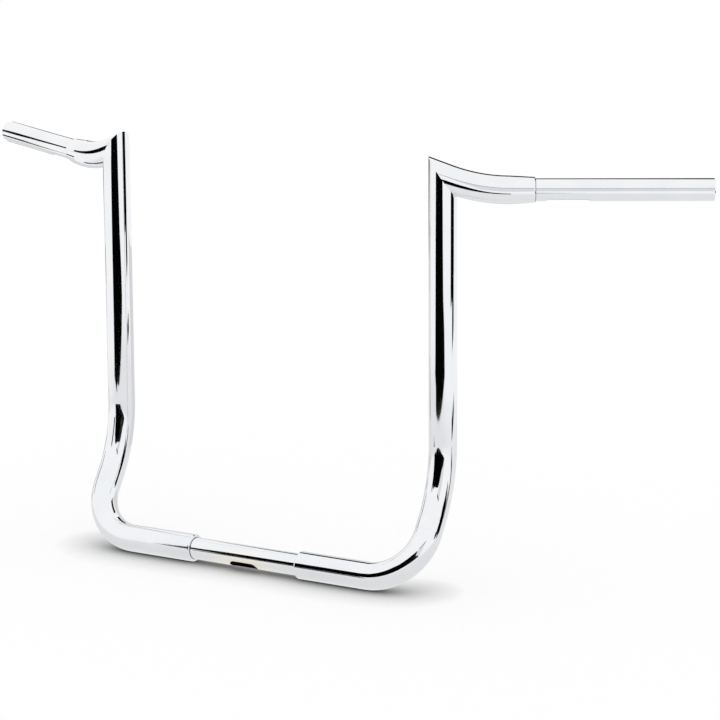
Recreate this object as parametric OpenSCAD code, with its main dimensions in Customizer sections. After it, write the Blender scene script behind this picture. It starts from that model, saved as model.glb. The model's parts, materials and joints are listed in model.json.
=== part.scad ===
// Ape hanger handlebar for a motorcycle, bent and welded from polished steel tube.
// Two fat risers stand on a slim clamp tube, meet curved top tubes at sharp mitres,
// and end in slim grip tubes. Sizes are in millimetres.
// X runs across the bar, Y to the rear and Z up. The origin is the middle of the clamp tube.

/* [Tube] */
// Outside diameter of the fat tube in the risers and top tubes
fat_d = 31.75; // [30:0.25:38]
// Outside diameter of the slim tube in the clamp and grip tubes, an inch for the usual clamps
slim_d = 25.4; // [22.2:0.1:26]
// Wall of the slim tube in the clamp and grip tubes
slim_wall = 3; // [2:0.1:4]
// Depth to which the hidden ends of the slim tubes are turned down
spigot_step = 0.2; // [0.2:0.05:0.5]
// Gap all round between a turned down end and the fat tube that it slides into
spigot_gap = 0.1; // [0.05:0.05:0.2]
// Length of each turned down end that is hidden inside its fat tube
sleeve_l = 24; // [12:1:25]
// Length of each turned down end that shows as a groove beside its fat tube
groove_l = 0.5; // [0.2:0.1:1]
// Thickness that forming takes off each face of the wall in a riser's bends and in a nose
forming_loss = 0.05; // [0.03:0.01:0.15]

/* [Clamp tube] */
// Length of slim tube that shows between the two risers, where the clamps sit
clamp_l = 143; // [110:1:170]
// Radius of the rounded lip where a riser ends on the clamp tube
riser_lip_r = 1.8; // [0.6:0.1:2.4]

/* [Risers] */
// Distance between the axes of the two risers
riser_span = 440; // [400:5:520]
// Centre line radius of the lower bend
lower_bend_r = 60; // [55:1:70]
// Distance along the tube axis from the corner of the lower bend to the corner of the kink
leg_l = 119.5; // [112:0.5:150]
// Angle at which the leg between the two bends leans back from the vertical
leg_lean = 34; // [25:1:38]
// Centre line radius of the kink
kink_r = 150; // [100:5:160]
// Height of the mitre corner above the clamp tube, measured on the tube axes
mitre_h = 448; // [380:1:520]

/* [Top tubes] */
// Angle at which a top tube drops from the horizontal as it leaves its mitre
top_drop = 19.5; // [10:0.5:28]
// Angle at which a top tube sweeps to the rear as it leaves its mitre
top_sweep = 22; // [12:0.5:28]
// Angle at which the grip tubes sweep to the rear
grip_sweep = 29.5; // [29:0.5:40]
// Centre line radius of the curve in a top tube
top_bend_r = 194; // [150:1:230]
// Length of the straight run between a mitre corner and the curve of its top tube
mitre_run = 6; // [4:1:12]
// Length of the straight swaged nose that a top tube ends in
nose_l = 27; // [26:1:45]
// Outside diameter at the end of the swaged nose
nose_d = 28.8; // [28.4:0.1:30]
// Radius of the rounded lip at the end of the swaged nose
nose_lip_r = 1.4; // [0.4:0.1:1.4]

/* [Grip tubes] */
// Length of slim tube that shows outside a top tube, for the grip and the controls
grip_l = 197; // [150:1:240]
// Chamfer on the open end of a grip tube
end_chamfer = 0.8; // [0.3:0.1:1.5]

/* [Wiring slots] */
// Length of the slot in the clamp tube
clamp_slot_l = 37; // [25:1:45]
// Width of the slot in the clamp tube
clamp_slot_w = 13; // [8:0.5:16]
// Angle of the clamp tube slot below the horizontal, to the front
clamp_slot_angle = 52; // [30:1:90]
// Angle round the clamp tube from its slot to the tube's own weld seam
clamp_seam_angle = 67.5; // [62:0.5:73]
// Length of the slot in each grip tube
grip_slot_l = 52; // [30:1:60]
// Width of the slot in each grip tube
grip_slot_w = 13; // [8:0.5:16]
// Angle of a grip tube slot below the horizontal, to the front
grip_slot_angle = 80; // [60:1:100]
// Distance from the nose of the top tube to the near end of the slot
grip_slot_start = 10.5; // [6:0.5:30]

/* [Hidden] */

$fn = 96;
chrome = [0.86, 0.88, 0.9];

// Sections of the two tubes, and the turned down ends of the slim one
spigot_d = slim_d - 2 * spigot_step;
spigot_l = sleeve_l + groove_l;
fat_bore_d = spigot_d + 2 * spigot_gap;
fat_wall = (fat_d - fat_bore_d) / 2;
slim_bore_d = slim_d - 2 * slim_wall;

// Riser: tangent lengths of its two bends and the lengths of its straight runs
half_span = riser_span / 2;
lower_tangent = lower_bend_r;
kink_tangent = kink_r * tan(leg_lean / 2);
lower_run = half_span - lower_tangent - clamp_l / 2;
leg_run = leg_l - lower_tangent - kink_tangent;
corner_y = leg_l * sin(leg_lean);
corner_z = leg_l * cos(leg_lean);
upper_start = corner_z + kink_tangent;
upper_run = mitre_h - upper_start;

// Mitre: its corner on the axes, and the tilt of the plane that halves the angle
mitre_corner = [half_span, corner_y, mitre_h];
mitre_tilt = (90 + top_drop) / 2;
mitre_reach = 2 * fat_d;

// How far the wall of a formed length reaches into its neighbours
forming_reach = 1;

// Top tube: axis directions at the mitre and at the grip, the turn between them, and the
// angle about the tube's own axis at which its curve sets off
function direction(drop, sweep) = [cos(drop) * cos(sweep), cos(drop) * sin(sweep), -sin(drop)];
start_dir = direction(top_drop, top_sweep);
grip_dir = direction(0, grip_sweep);
under_dir = direction(top_drop + 90, top_sweep);
side_dir = direction(0, top_sweep + 90);
top_turn = acos(start_dir * grip_dir);
curve_heading = atan2(grip_dir * side_dir, grip_dir * under_dir);
inward_dir = (grip_dir - cos(top_turn) * start_dir) / sin(top_turn);
curve_end = mitre_corner + mitre_run * start_dir
    + top_bend_r * (sin(top_turn) * start_dir + (1 - cos(top_turn)) * inward_dir);
nose_end = curve_end + nose_l * grip_dir;

// Straight fat tube that starts at the origin and runs up Z, and what follows at its far end
module run(length) {
    linear_extrude(length) difference() {
        circle(d = fat_d);
        circle(d = fat_bore_d);
    }
    translate([0, 0, length]) children();
}

// Arc of tube that sets off up Z and turns towards +X, with a length added at both ends
module arc(radius, turn, outer, bore, reach) {
    reach_turn = reach / radius * 180 / PI;
    translate([radius, 0, 0]) rotate([90, 0, 0])
        rotate_extrude(start = 180 - turn - reach_turn, angle = turn + 2 * reach_turn)
            translate([radius, 0]) difference() {
                circle(d = outer);
                circle(d = bore);
            }
}

// Moves what follows an arc to its far end
module after_arc(radius, turn) {
    translate([radius, 0, 0]) rotate([0, turn, 0]) translate([-radius, 0, 0]) children();
}

// Tight bend of a riser, and what follows at its far end. Forming has thinned its wall,
// which reaches into the walls of the runs before and after it.
module bend(radius, turn) {
    arc(radius, turn, fat_d - 2 * forming_loss, fat_bore_d + 2 * forming_loss, forming_reach);
    after_arc(radius, turn) children();
}

// Half section of a tube end, from its bore at X = 0 to a rounded outer lip at the top
module lip_profile(wall, lip_r) {
    square([wall - lip_r, lip_r]);
    translate([wall - lip_r, 0]) intersection() {
        circle(r = lip_r);
        square(lip_r);
    }
}

// Places a part that runs up Z so that it starts at a point and runs along a direction,
// given by its drop below the horizontal and its sweep to the rear
module along(start, drop, sweep) {
    translate(start) rotate([0, 90 + drop, sweep]) children();
}

// Block that fills the far side of the mitre plane as the riser meets it, or the near side
module mitre_block(far_side) {
    translate(mitre_corner) rotate([0, mitre_tilt, top_sweep])
        translate([-mitre_reach, -mitre_reach, far_side ? 0 : -2 * mitre_reach])
            cube(2 * mitre_reach);
}

// Slot with round ends through one wall of a slim tube that runs along X.
// Its angle is measured down from the front, which is -Y.
module wiring_slot(length, width, angle) {
    rotate([angle - 90, 0, 0]) translate([0, 0, -slim_d])
        linear_extrude(slim_d) {
            square([length - width, width], center = true);
            for (end = [-1, 1])
                translate([end * (length - width) / 2, 0]) circle(d = width);
        }
}

// Slim tube that the clamps hold, turned down where it enters both risers, with a slot
// for the wiring that keeps clear of the tube's weld seam
module clamp_tube() {
    full_l = clamp_l + 2 * sleeve_l;
    color(chrome) difference() {
        rotate([clamp_slot_angle + clamp_seam_angle - 90, 0, 0])
            along([-full_l / 2, 0, 0], 0, 0) rotate_extrude() polygon([
                [slim_bore_d / 2, 0],
                [spigot_d / 2, 0],
                [spigot_d / 2, spigot_l],
                [slim_d / 2, spigot_l],
                [slim_d / 2, full_l - spigot_l],
                [spigot_d / 2, full_l - spigot_l],
                [spigot_d / 2, full_l],
                [slim_bore_d / 2, full_l]
            ]);
        wiring_slot(clamp_slot_l, clamp_slot_w, clamp_slot_angle);
    }
}

// Straight foot of a riser beside the clamp tube, with a rounded lip at its near end,
// and what follows at its far end
module riser_foot() {
    rotate_extrude() translate([fat_bore_d / 2, 0]) {
        translate([0, riser_lip_r]) square([fat_wall, lower_run - riser_lip_r]);
        translate([0, riser_lip_r]) mirror([0, 1]) lip_profile(fat_wall, riser_lip_r);
    }
    translate([0, 0, lower_run]) children();
}

// Fat tube from the clamp tube to the mitre: a square lower bend, a leaning leg,
// a gentle kink and a long upright run whose top is cut to the mitre
module riser() {
    difference() {
        along([clamp_l / 2, 0, 0], 0, 0) rotate([0, 0, 180 - leg_lean])
            riser_foot()
            bend(lower_bend_r, 90)
            run(leg_run)
            rotate([0, 0, 90]) bend(kink_r, leg_lean)
            run(upper_run + mitre_reach);
        mitre_block(far_side = true);
    }
}

// Swaged nose of a top tube: the outside tapers down, then rounds over to the bore.
// Forming has thinned its wall, which reaches back into the wall of the curve before it.
module nose() {
    bore_r = fat_bore_d / 2 + forming_loss;
    base_wall = fat_wall - 2 * forming_loss;
    end_wall = nose_d / 2 - bore_r;
    taper_l = nose_l - nose_lip_r;
    rotate_extrude() translate([bore_r, 0]) {
        polygon([
            [0, -forming_reach],
            [base_wall, -forming_reach],
            [base_wall, 0],
            [end_wall, taper_l],
            [0, taper_l]
        ]);
        translate([0, taper_l]) lip_profile(end_wall, nose_lip_r);
    }
}

// Fat tube from the mitre outward: a short straight run, one long curve and the nose
module top_tube() {
    difference() {
        along(mitre_corner, top_drop, top_sweep) rotate([0, 0, curve_heading])
            translate([0, 0, -mitre_reach]) run(mitre_reach + mitre_run) {
                arc(top_bend_r, top_turn, fat_d, fat_bore_d, 0);
                after_arc(top_bend_r, top_turn) nose();
            }
        mitre_block(far_side = false);
    }
}

// Slim tube for the grip and the controls, turned down where it enters the nose of its
// top tube, with a slot for the wiring
module grip_tube() {
    full_l = grip_l + sleeve_l;
    difference() {
        along(nose_end - sleeve_l * grip_dir, 0, grip_sweep) rotate_extrude() polygon([
            [slim_bore_d / 2, 0],
            [spigot_d / 2, 0],
            [spigot_d / 2, spigot_l],
            [slim_d / 2, spigot_l],
            [slim_d / 2, full_l - end_chamfer],
            [slim_d / 2 - end_chamfer, full_l],
            [slim_bore_d / 2, full_l]
        ]);
        translate(nose_end) rotate([0, 0, grip_sweep])
            translate([grip_slot_start + grip_slot_l / 2, 0, 0])
                wiring_slot(grip_slot_l, grip_slot_w, grip_slot_angle);
    }
}

// Pieces on the right side are drawn as they are, and the left ones are their mirror images
module left_side() {
    mirror([1, 0, 0]) children();
}

module right_riser() {
    color(chrome) riser();
}

module left_riser() {
    left_side() right_riser();
}

module right_top_tube() {
    color(chrome) top_tube();
}

module left_top_tube() {
    left_side() right_top_tube();
}

module right_grip_tube() {
    color(chrome) grip_tube();
}

module left_grip_tube() {
    left_side() right_grip_tube();
}

clamp_tube();
left_riser();
right_riser();
left_top_tube();
right_top_tube();
left_grip_tube();
right_grip_tube();
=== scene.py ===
import json
import math

import bpy
from mathutils import Matrix, Vector


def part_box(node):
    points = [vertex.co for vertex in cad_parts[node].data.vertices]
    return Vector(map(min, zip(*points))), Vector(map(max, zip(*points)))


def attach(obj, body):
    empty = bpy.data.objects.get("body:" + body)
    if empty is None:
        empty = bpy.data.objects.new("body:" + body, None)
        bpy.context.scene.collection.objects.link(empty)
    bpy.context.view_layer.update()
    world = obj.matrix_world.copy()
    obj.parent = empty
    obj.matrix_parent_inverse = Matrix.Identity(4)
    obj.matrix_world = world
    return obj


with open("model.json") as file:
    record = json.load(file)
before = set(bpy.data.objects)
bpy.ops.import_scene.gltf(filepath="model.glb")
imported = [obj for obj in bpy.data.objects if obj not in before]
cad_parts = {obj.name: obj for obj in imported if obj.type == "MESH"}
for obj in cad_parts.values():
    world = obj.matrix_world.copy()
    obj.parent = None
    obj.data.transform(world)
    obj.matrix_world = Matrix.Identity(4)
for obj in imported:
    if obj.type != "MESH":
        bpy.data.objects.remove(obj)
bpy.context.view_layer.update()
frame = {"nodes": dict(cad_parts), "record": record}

# Camera
# It stands in front of the bar, to its right and a little above it, about three and a half
# metres away, and looks with a long lens past the middle of the bar.
CAMERA_AZIMUTH = math.radians(31.035)
CAMERA_ELEVATION = math.radians(12.094)
CAMERA_ROLL = math.radians(-0.3246)
CAMERA_DISTANCE = 3.56825
CAMERA_ASIDE = 0.12924
CAMERA_RAISED = 0.22569
SENSOR_WIDTH = 36.0
LENS = 155.24
CLIP_END = 60

across = Vector((math.cos(CAMERA_AZIMUTH), math.sin(CAMERA_AZIMUTH), 0))
back = Vector((
    math.sin(CAMERA_AZIMUTH) * math.cos(CAMERA_ELEVATION),
    -math.cos(CAMERA_AZIMUTH) * math.cos(CAMERA_ELEVATION),
    math.sin(CAMERA_ELEVATION),
))
upward = back.cross(across)
right = across * math.cos(CAMERA_ROLL) + upward * math.sin(CAMERA_ROLL)
above = upward * math.cos(CAMERA_ROLL) - across * math.sin(CAMERA_ROLL)
camera = bpy.data.objects.new("Camera", bpy.data.cameras.new("Camera"))
camera.data.sensor_width = SENSOR_WIDTH
camera.data.lens = LENS
camera.data.clip_end = CLIP_END
placed = Matrix((right, above, back)).transposed().to_4x4()
placed.translation = right * CAMERA_ASIDE + above * CAMERA_RAISED + back * CAMERA_DISTANCE
camera.matrix_world = placed
bpy.context.scene.collection.objects.link(camera)
bpy.context.scene.camera = camera
bpy.context.scene.view_settings.view_transform = "Standard"

# Studio floor
# The bar stands on a long sweep of white paper. Close to the tubes it takes their soft shade, and an
# occlusion node darkens its colour and glow there still more: a painted contact shadow. Further off
# it is lit to a plain white, which the chrome shows too. In the chrome alone the paper is painted
# lighter close to the tubes, where they shade it, and grows to full white with its distance from the
# middle of the bar.
PAPER_WHITE = "DADADB"
CLOSE_SHADE, SHADE_SAMPLES = 0.055, 12
LIT_FROM, LIT_FULLY = 0.35, 1.3
MIRRORED_NEAR = 0.5
PAINTED_CLOSE_FILL = 2.6
FLOOR_Z = -0.0161
PAPER_FRONT, PAPER_BACK, PAPER_SIDE = -6.0, 9.0, 7.0


def linear(hex_colour):
    """Turns an sRGB hex colour into the linear colour that a shader socket takes."""
    parts = [int(hex_colour[i:i + 2], 16) / 255 for i in (0, 2, 4)]
    return [p / 12.92 if p <= 0.04045 else ((p + 0.055) / 1.055) ** 2.4 for p in parts] + [1]


def add_node(tree, kind, inputs, **settings):
    """Adds a shader node, sets its properties, and sets or links each named input."""
    made = tree.nodes.new(kind)
    for name, value in settings.items():
        setattr(made, name, value)
    for name, value in inputs.items():
        if isinstance(value, bpy.types.NodeSocket):
            tree.links.new(value, made.inputs[name])
        else:
            made.inputs[name].default_value = value
    return made


def new_material(name):
    """Makes an empty material and returns it with its node tree."""
    made = bpy.data.materials.new(name)
    made.use_nodes = True
    made.node_tree.nodes.clear()
    return made, made.node_tree


def stage_panel(name, corners, material):
    """Makes a flat panel of the studio, which isn't part of the bar."""
    mesh = bpy.data.meshes.new(name)
    mesh.from_pydata(corners, [], [tuple(range(len(corners)))])
    mesh.materials.append(material)
    panel = bpy.data.objects.new(name, mesh)
    bpy.context.scene.collection.objects.link(panel)
    return panel


paper, tree = new_material("White paper")
# Painted contact shadow: this occlusion node darkens the paper's colour and its glow close to the
# tubes.
shade = add_node(tree, "ShaderNodeAmbientOcclusion", {
    "Color": linear(PAPER_WHITE), "Distance": CLOSE_SHADE}, samples=SHADE_SAMPLES)
lit_paper = add_node(tree, "ShaderNodeBsdfDiffuse", {"Color": shade.outputs["Color"]})
path = add_node(tree, "ShaderNodeLightPath", {})
place = add_node(tree, "ShaderNodeNewGeometry", {})
from_bar = add_node(tree, "ShaderNodeVectorMath", {
    0: place.outputs["Position"]}, operation="LENGTH")
far_off = add_node(tree, "ShaderNodeMapRange", {
    "Value": from_bar.outputs["Value"], "From Min": LIT_FROM, "From Max": LIT_FULLY,
    "To Min": 0.0, "To Max": 1.0}, interpolation_type="SMOOTHSTEP")
# Painted light: in the chrome, the paper glows lighter where the tubes shade it, and towards full
# white far off.
mirrored = add_node(tree, "ShaderNodeMath", {
    0: path.outputs["Is Glossy Ray"], 1: path.outputs["Is Transmission Ray"]}, operation="MAXIMUM")
close_by = add_node(tree, "ShaderNodeMath", {0: 1.0, 1: shade.outputs["AO"]}, operation="SUBTRACT")
painted_fill = add_node(tree, "ShaderNodeMath", {
    0: close_by.outputs[0], 1: PAINTED_CLOSE_FILL, 2: MIRRORED_NEAR}, operation="MULTIPLY_ADD")
bright = add_node(tree, "ShaderNodeMath", {
    0: painted_fill.outputs[0], 1: far_off.outputs[0]}, operation="MAXIMUM")
mirrored_glow = add_node(tree, "ShaderNodeMath", {
    0: mirrored.outputs[0], 1: bright.outputs[0]}, operation="MULTIPLY")
seen_glow = add_node(tree, "ShaderNodeMath", {
    0: path.outputs["Is Camera Ray"], 1: shade.outputs["AO"]}, operation="MULTIPLY")
open_glow = add_node(tree, "ShaderNodeMath", {
    0: mirrored_glow.outputs[0], 1: seen_glow.outputs[0]}, operation="MAXIMUM")
paper_glow = add_node(tree, "ShaderNodeEmission", {
    "Color": [1 - c for c in linear(PAPER_WHITE)[:3]] + [1], "Strength": open_glow.outputs[0]})
paper_both = add_node(tree, "ShaderNodeAddShader", {
    0: lit_paper.outputs[0], 1: paper_glow.outputs[0]})
add_node(tree, "ShaderNodeOutputMaterial", {"Surface": paper_both.outputs[0]})
stage_panel("Floor", [
    (-PAPER_SIDE, PAPER_FRONT, FLOOR_Z), (PAPER_SIDE, PAPER_FRONT, FLOOR_Z),
    (PAPER_SIDE, PAPER_BACK, FLOOR_Z), (-PAPER_SIDE, PAPER_BACK, FLOOR_Z),
], paper)

# Studio surroundings
# A white tent lights the bar from all sides. Black openings and cards round it give the chrome
# its dark bands and thin outlines. They are seen in the chrome only, and cast no shadow.
TENT_WHITE = "FFFFFF"
FLAG_BLACK, FLAG_GREY = "040404", "3A3A3A"
CARD_WHITE, WALL_GREY = "DEDEDE", "E2E3E7"
# The front opening's outline is given along the foot of its plane and up.
FRONT_START = Vector((-0.47, -0.76, 0))
FRONT_ALONG = Vector((0.9847, 0.1744, 0))
FRONT_OUTLINE = [
    (-0.08, -0.016), (0.22, -0.016), (0.25, 0.0), (0.50, 0.0), (0.90, 0.03), (1.28, 0.05),
    (1.20, 0.12), (1.06, 0.18), (1.01, 0.25), (0.97, 0.33), (0.92, 0.36),
    (0.55, 0.38), (0.45, 0.42), (0.30, 0.40), (0.12, 0.31), (0.05, 0.22), (0.0, 0.10), (-0.05, 0.0),
]
LEFT_X = -1.5
LEFT_OUTLINE = [
    (0.305, 0.40), (0.305, 0.60), (0.22, 0.635), (0.10, 0.64), (-0.05, 0.56), (-0.14, 0.44),
    (-0.19, 0.36), (-0.12, 0.315), (-0.03, 0.36), (0.08, 0.43), (0.16, 0.50), (0.20, 0.52),
    (0.27, 0.40),
]
LEFT_STRIPS = [
    [(-0.60, 0.13), (-0.60, 0.20), (-0.85, 0.275), (-1.00, 0.315), (-1.00, 0.24), (-0.85, 0.205)],
    [(-1.50, 0.47), (-1.84, 0.59), (-1.84, 0.46), (-1.50, 0.375)],
]
LAID_ABOVE = 0.002
ON_PAPER = FLOOR_Z + LAID_ABOVE

tent = bpy.data.worlds.new("White tent")
tent.use_nodes = True
tent.node_tree.nodes.clear()
tent_light = add_node(tent.node_tree, "ShaderNodeBackground", {
    "Color": linear(TENT_WHITE), "Strength": 1.0})
add_node(tent.node_tree, "ShaderNodeOutputWorld", {"Surface": tent_light.outputs[0]})
bpy.context.scene.world = tent


def upright_panel(start, end, bottom, top):
    """Gives the corners of an upright panel that stands between two points of the floor plan."""
    return [(*start, bottom), (*end, bottom), (*end, top), (*start, top)]


card_finishes = {}
for finish_name, hex_colour in (("Black cloth", FLAG_BLACK), ("Grey cloth", FLAG_GREY)):
    card_finishes[finish_name], tree = new_material(finish_name)
    cloth = add_node(tree, "ShaderNodeBsdfDiffuse", {"Color": linear(hex_colour)})
    add_node(tree, "ShaderNodeOutputMaterial", {"Surface": cloth.outputs[0]})
for finish_name, hex_colour in (("White card", CARD_WHITE), ("Grey wall", WALL_GREY)):
    card_finishes[finish_name], tree = new_material(finish_name)
    card_glow = add_node(tree, "ShaderNodeEmission", {"Color": linear(hex_colour), "Strength": 1.0})
    add_node(tree, "ShaderNodeOutputMaterial", {"Surface": card_glow.outputs[0]})

CARDS = {
    "Front_opening": ("Black cloth", [
        FRONT_START + FRONT_ALONG * s + Vector((0, 0, z)) for s, z in FRONT_OUTLINE]),
    "Front_left_opening": ("Black cloth", [
        (-1.76, -2.5, 0.06), (-1.25, -2.5, 0.06), (-1.25, -2.5, 1.42), (-1.76, -2.5, 1.24)]),
    "Front_right_wall": ("Grey wall", upright_panel((1.9, -3.58), (3.05, -2.75), 0.0, 1.93)),
    "Front_bar": ("Black cloth", upright_panel((1.9, -3.58), (3.05, -2.75), 1.93, 2.10)),
    "Front_floor_flag": ("Black cloth", [
        (-0.14, -0.12, ON_PAPER), (0.12, -0.12, ON_PAPER),
        (-0.06, -0.42, ON_PAPER), (-0.32, -0.42, ON_PAPER)]),
    "Right_flag": ("Black cloth", upright_panel((1.43, 0.10), (1.43, 0.95), 0.07, 0.28)),
    "Right_low_flag": ("Black cloth", upright_panel((1.43, 0.45), (1.43, 0.90), FLOOR_Z, 0.07)),
    "Right_floor_flag": ("Black cloth", upright_panel((0.9, 0.24), (0.9, 0.62), FLOOR_Z, 0.015)),
    "Left_flag": ("Black cloth", [(LEFT_X, y, z) for y, z in LEFT_OUTLINE]),
    "Left_near_strip": ("Black cloth", [(x, y, ON_PAPER) for x, y in LEFT_STRIPS[0]]),
    "Left_far_strip": ("Black cloth", [(x, y, ON_PAPER) for x, y in LEFT_STRIPS[1]]),
    "Rear_high_flag": ("Black cloth", upright_panel((-0.12, 0.62), (0.50, 0.62), 0.52, 0.93)),
    "Rear_flag": ("Black cloth", upright_panel((-0.62, 0.75), (-0.30, 0.75), 0.50, 0.95)),
    "Rear_left_flag": ("Black cloth", upright_panel((-1.75, 0.63), (-0.95, 1.75), FLOOR_Z, 0.30)),
    "Rear_left_low_flag": ("Black cloth", upright_panel((-1.9, 0.42), (-1.75, 0.63), FLOOR_Z, 0.045)),
    "Rear_left_high_flag": ("Grey cloth", upright_panel((-2.2, 2.5), (-1.85, 2.7), 0.40, 0.95)),
    "Rear_reflector": ("White card", upright_panel((-1.1, 0.42), (0.15, 0.42), FLOOR_Z, 0.27)),
}
for card_name, (finish_name, corners) in CARDS.items():
    card = stage_panel(card_name, corners, card_finishes[finish_name])
    card.visible_camera = card.visible_diffuse = card.visible_shadow = False

# Clamp tube
# Slim drawn steel tube, an inch across, that the handlebar clamps grip. It is plugged into the
# feet of the risers and welded there, and a long slot milled in its front lets the wires in.
# Bright nickel and chrome plate: a hard, cool white mirror with faint clouds from buffing.
CHROME_WHITE = "F8F9FA"
CHROME_CLOUDED = "E8EBEF"
CHROME_ROUGHNESS, HAZE_ROUGHNESS = 0.02, 0.075
BUFFING_SPAN = 0.045
BUFFING_DEPTH = 0.00007
# Polishing marks are some 0.02 mm apart, too fine to show, so they are drawn as a faint haze
# with grains of 1.2 mm.
POLISH_GRAIN = 0.0012
HAZE_FROM, HAZE_FULL = 0.12, 0.42
# Plating stops just inside the open ends: nearer to the axis than this the steel is bare. Its colours
# are painted darker than bare steel, for the shade inside the bore.
BARE_WITHIN = 0.0110
SHADED_STEEL_GREY, SHADED_STEEL_OILED = "77736D", "3B342B"
STEEL_ROUGHNESS, OIL_ROUGHNESS = 0.42, 0.28
MILL_SCALE = 0.004
SCALE_FROM, SCALE_FULL = 0.3, 0.7
# The plate round the slot is tinted a warm cream, fading out towards the edge of its reach.
SLOT_TINT_CREAM = "FCF8EE"
SLOT_TINT_CENTRE = (0.0, -0.0078, -0.0080)
SLOT_TINT_REACH = (0.055, 0.020, 0.020)
SLOT_TINT_FULL_WITHIN = 0.45


def place_on_bar(tree):
    """Gives the place on the bar in metres, with its left half folded onto its right."""
    place = add_node(tree, "ShaderNodeTexCoord", {}).outputs["Object"]
    return add_node(tree, "ShaderNodeVectorMath", {0: place}, operation="ABSOLUTE").outputs[0]


def chrome_plate(tree, seed):
    """Builds bright plate and returns its colour, its roughness and its wavy surface."""
    place = add_node(tree, "ShaderNodeTexCoord", {}).outputs["Object"]
    clouds = add_node(tree, "ShaderNodeTexNoise", {
        "Vector": place, "W": seed, "Scale": 1 / BUFFING_SPAN, "Detail": 3.0, "Roughness": 0.55,
    }, noise_dimensions="4D")
    colour = add_node(tree, "ShaderNodeMix", {
        "Factor": clouds.outputs["Fac"], 6: linear(CHROME_WHITE), 7: linear(CHROME_CLOUDED),
    }, data_type="RGBA")
    marks = add_node(tree, "ShaderNodeTexNoise", {
        "Vector": place, "W": seed + 5, "Scale": 1 / POLISH_GRAIN, "Detail": 2.0, "Roughness": 0.5,
    }, noise_dimensions="4D")
    haze = add_node(tree, "ShaderNodeMath", {
        0: clouds.outputs["Fac"], 1: marks.outputs["Fac"]}, operation="MULTIPLY")
    roughness = add_node(tree, "ShaderNodeMapRange", {
        "Value": haze.outputs[0], "From Min": HAZE_FROM, "From Max": HAZE_FULL,
        "To Min": CHROME_ROUGHNESS, "To Max": HAZE_ROUGHNESS})
    waves = add_node(tree, "ShaderNodeTexNoise", {
        "Vector": place, "W": seed + 9, "Scale": 1 / BUFFING_SPAN, "Detail": 1.0, "Roughness": 0.4,
    }, noise_dimensions="4D")
    surface = add_node(tree, "ShaderNodeBump", {
        "Strength": 1.0, "Distance": BUFFING_DEPTH, "Height": waves.outputs["Fac"]})
    return colour.outputs[2], roughness.outputs[0], surface.outputs[0]


def bare_and_shaded_inside(tree, colour, roughness, start, along):
    """Leaves the bore of a slim tube as drawn steel: grey, with patches of brown oil, painted darker
    than bare steel for the shade in the bore.
    """
    place = place_on_bar(tree)
    from_start = add_node(tree, "ShaderNodeVectorMath", {0: place, 1: start}, operation="SUBTRACT")
    across_axis = add_node(tree, "ShaderNodeVectorMath", {
        0: from_start.outputs[0], 1: along}, operation="CROSS_PRODUCT")
    from_axis = add_node(tree, "ShaderNodeVectorMath", {
        0: across_axis.outputs[0]}, operation="LENGTH")
    inside = add_node(tree, "ShaderNodeMath", {
        0: from_axis.outputs["Value"], 1: BARE_WITHIN}, operation="LESS_THAN")
    patches = add_node(tree, "ShaderNodeTexNoise", {
        "Vector": place, "Scale": 1 / MILL_SCALE, "Detail": 4.0, "Roughness": 0.6})
    steel = add_node(tree, "ShaderNodeMix", {
        "Factor": patches.outputs["Fac"], 6: linear(SHADED_STEEL_GREY), 7: linear(SHADED_STEEL_OILED),
    }, data_type="RGBA")
    steel_roughness = add_node(tree, "ShaderNodeMapRange", {
        "Value": patches.outputs["Fac"], "From Min": SCALE_FROM, "From Max": SCALE_FULL,
        "To Min": STEEL_ROUGHNESS, "To Max": OIL_ROUGHNESS})
    both = add_node(tree, "ShaderNodeMix", {
        "Factor": inside.outputs[0], 6: colour, 7: steel.outputs[2]}, data_type="RGBA")
    both_roughness = add_node(tree, "ShaderNodeMix", {
        "Factor": inside.outputs[0], 2: roughness, 3: steel_roughness.outputs[0],
    }, data_type="FLOAT")
    return both.outputs[2], both_roughness.outputs[0]


def finish_tubes(material, tree, colour, roughness, surface, node_names):
    """Closes the tree with a metal shader and puts the material on the CAD nodes."""
    metal = add_node(tree, "ShaderNodeBsdfPrincipled", {
        "Base Color": colour, "Metallic": 1.0, "Roughness": roughness, "Normal": surface})
    add_node(tree, "ShaderNodeOutputMaterial", {"Surface": metal.outputs[0]})
    for node_name in node_names:
        tube = frame["nodes"][node_name]
        tube.data.materials.clear()
        tube.data.materials.append(material)


clamp_chrome, tree = new_material("Chrome plate on the clamp tube")
colour, roughness, surface = chrome_plate(tree, 1.0)
place = add_node(tree, "ShaderNodeTexCoord", {}).outputs["Object"]
from_slot = add_node(tree, "ShaderNodeVectorMath", {0: place, 1: SLOT_TINT_CENTRE}, operation="SUBTRACT")
in_reach = add_node(tree, "ShaderNodeVectorMath", {
    0: from_slot.outputs[0], 1: SLOT_TINT_REACH}, operation="DIVIDE")
reach = add_node(tree, "ShaderNodeVectorMath", {0: in_reach.outputs[0]}, operation="LENGTH")
# Cream tint round the slot, full close to it and fading out at its reach.
slot_tint = add_node(tree, "ShaderNodeMapRange", {
    "Value": reach.outputs["Value"], "From Min": SLOT_TINT_FULL_WITHIN, "From Max": 1.0,
    "To Min": 1.0, "To Max": 0.0,
}, interpolation_type="SMOOTHSTEP")
tinted = add_node(tree, "ShaderNodeMix", {
    "Factor": slot_tint.outputs[0], 6: colour, 7: linear(SLOT_TINT_CREAM)}, data_type="RGBA")
colour, roughness = bare_and_shaded_inside(tree, tinted.outputs[2], roughness, (0, 0, 0), (1, 0, 0))
finish_tubes(clamp_chrome, tree, colour, roughness, surface, ["clamp_tube"])

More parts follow.
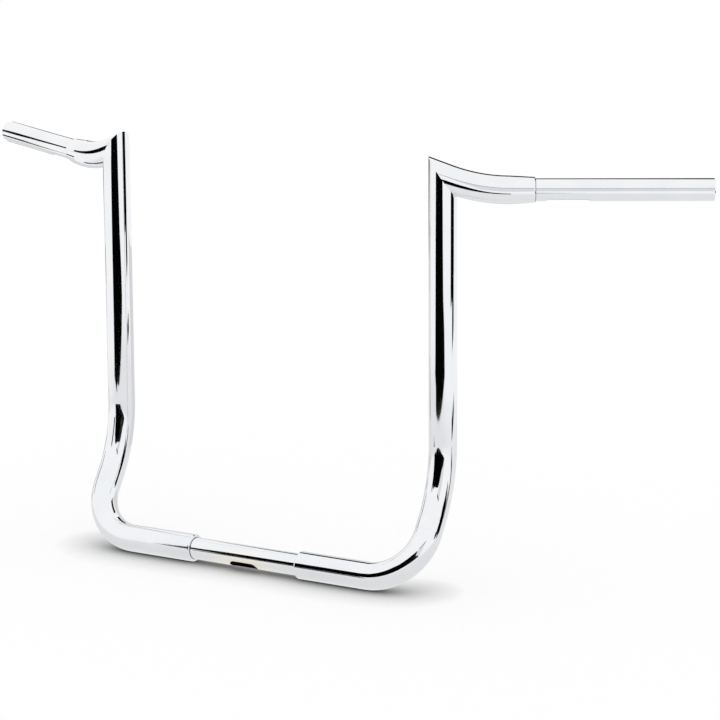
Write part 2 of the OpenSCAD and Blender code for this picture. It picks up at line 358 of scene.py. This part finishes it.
# Risers
# Fat steel tube, an inch and a quarter across: foot, round bend, leaning leg, kink and
# upright, bent on a mandrel in one piece, then plated as the rest is to the same bright mirror.
riser_chrome, tree = new_material("Chrome plate on the risers")
finish_tubes(riser_chrome, tree, *chrome_plate(tree, 2.0), ["left_riser", "right_riser"])

# Joint lines
# A thin dark ring lies in the corner where a slim tube enters a fat one: a dull grey, grainy bead. It
# stands less than a millimetre proud of the slim tube.
JOINT_RADIUS = 0.0127
CLAMP_LINE_HALF, GRIP_LINE_HALF = 0.00045, 0.0007
HALF_GRIP_LENGTH = 0.0985
ROUND_STEPS, BEAD_STEPS = 96, 8
RING_DARK, RING_PALE = "26272A", "4A4B4E"
# The ring's grain is drawn as patches of 0.8 mm.
RING_GRAIN, GRAIN_DEPTH, GRAIN_STRENGTH = 0.0008, 0.0001, 0.6
RING_ROUGHNESS = 0.75

# A dark, grainy finish for the thin rings in the joint corners.
dark_ring_finish, tree = new_material("Dark joint ring")
grains = add_node(tree, "ShaderNodeTexNoise", {
    "Vector": place_on_bar(tree), "Scale": 1 / RING_GRAIN, "Detail": 3.0, "Roughness": 0.6})
ring_colour = add_node(tree, "ShaderNodeMix", {
    "Factor": grains.outputs["Fac"], 6: linear(RING_DARK), 7: linear(RING_PALE),
}, data_type="RGBA")
ring_surface = add_node(tree, "ShaderNodeBump", {
    "Strength": GRAIN_STRENGTH, "Distance": GRAIN_DEPTH, "Height": grains.outputs["Fac"]})
ring_shader = add_node(tree, "ShaderNodeBsdfPrincipled", {
    "Base Color": ring_colour.outputs[2], "Roughness": RING_ROUGHNESS,
    "Normal": ring_surface.outputs[0]})
add_node(tree, "ShaderNodeOutputMaterial", {"Surface": ring_shader.outputs[0]})


def joint_line(name, centre, along, line_half):
    """Lays a thin dark ring round a slim tube, in the corner where it enters a fat one."""
    turn = Vector((0, 0, 1)).rotation_difference(Vector(along))
    corners, faces = [], []
    for i in range(ROUND_STEPS):
        around = 2 * math.pi * i / ROUND_STEPS
        for j in range(BEAD_STEPS):
            bead = 2 * math.pi * j / BEAD_STEPS
            out = JOINT_RADIUS + line_half * math.cos(bead)
            spot = Vector((
                out * math.cos(around), out * math.sin(around), line_half * math.sin(bead)))
            corners.append(Vector(centre) + turn @ spot)
            here, after = i * BEAD_STEPS, (i + 1) % ROUND_STEPS * BEAD_STEPS
            up = (j + 1) % BEAD_STEPS
            faces.append((here + j, after + j, after + up, here + up))
    mesh = bpy.data.meshes.new(name)
    mesh.from_pydata(corners, [], faces)
    mesh.materials.append(dark_ring_finish)
    for face in mesh.polygons:
        face.use_smooth = True
    ring = bpy.data.objects.new(name, mesh)
    bpy.context.scene.collection.objects.link(ring)
    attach(ring, "root")


foot_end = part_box("right_riser")[0].x
joint_line("Clamp_joint_right", (foot_end, 0, 0), (1, 0, 0), CLAMP_LINE_HALF)
joint_line("Clamp_joint_left", (-foot_end, 0, 0), (1, 0, 0), CLAMP_LINE_HALF)
mounts = {mount["name"]: mount for mount in frame["record"]["mounts"]}
for side in ("right", "left"):
    mount = mounts[side + "_grip"]
    start = Vector(mount["pos_m"]) - Vector(mount["axis"]) * HALF_GRIP_LENGTH
    joint_line("Grip_joint_" + side, start, mount["axis"], GRIP_LINE_HALF)

# Top tubes
# Fat tube again: mitred onto the top of each riser, welded and dressed flush so that no seam
# shows, swept back in a long bend, and swaged down at its end to a short rounded nose. Same mirror.
top_chrome, tree = new_material("Chrome plate on the top tubes")
finish_tubes(top_chrome, tree, *chrome_plate(tree, 3.0), ["left_top_tube", "right_top_tube"])

# Grip tubes
# Slim tube that the grips, levers and switches slide onto. Its end is open, a slot under it lets the
# wires out, and the plating doesn't reach far inside, so the bore stays bare steel, painted darker
# for the shade inside it.
grip_chrome, tree = new_material("Chrome plate on the grip tubes")
colour, roughness, surface = chrome_plate(tree, 4.0)
right_mount = mounts["right_grip"]
colour, roughness = bare_and_shaded_inside(tree, colour, roughness, right_mount["pos_m"], right_mount["axis"])
finish_tubes(grip_chrome, tree, colour, roughness, surface, ["left_grip_tube", "right_grip_tube"])
